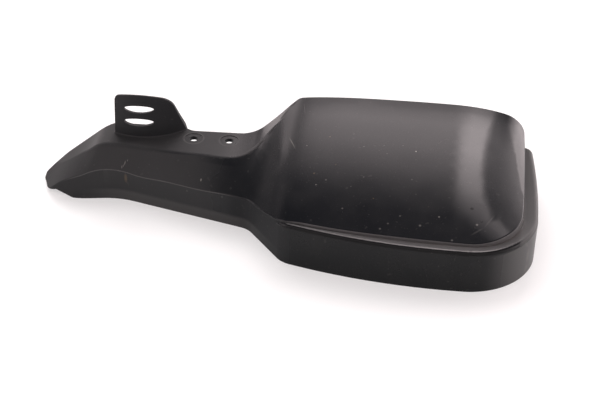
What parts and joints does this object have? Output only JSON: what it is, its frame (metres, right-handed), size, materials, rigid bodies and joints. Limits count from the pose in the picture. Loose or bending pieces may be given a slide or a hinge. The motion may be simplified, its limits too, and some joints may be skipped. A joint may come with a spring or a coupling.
{
  "type": "motorcycle hand guard",
  "caption": "Moulded black plastic motorcycle hand guard: a domed shield with a stepped rim, a tapering arm with a bolt flat, a drooping tip and an upright slotted tab.",
  "frame": {"origin": "midway between the two bolt holes, on the outer face of the bolt flat", "axes": "+X along the line of the bolt holes towards the shield, +Z along the bolt axis out of the outer face, +Y towards the open far edge of the shield"},
  "size_m": [0.3196, 0.1393, 0.0647],
  "materials": {
    "black_plastic": "satin black moulded plastic with light scuffs"
  },
  "bodies": {
    "root": {"hand_guard": "black_plastic"}
  },
  "joints": []
}
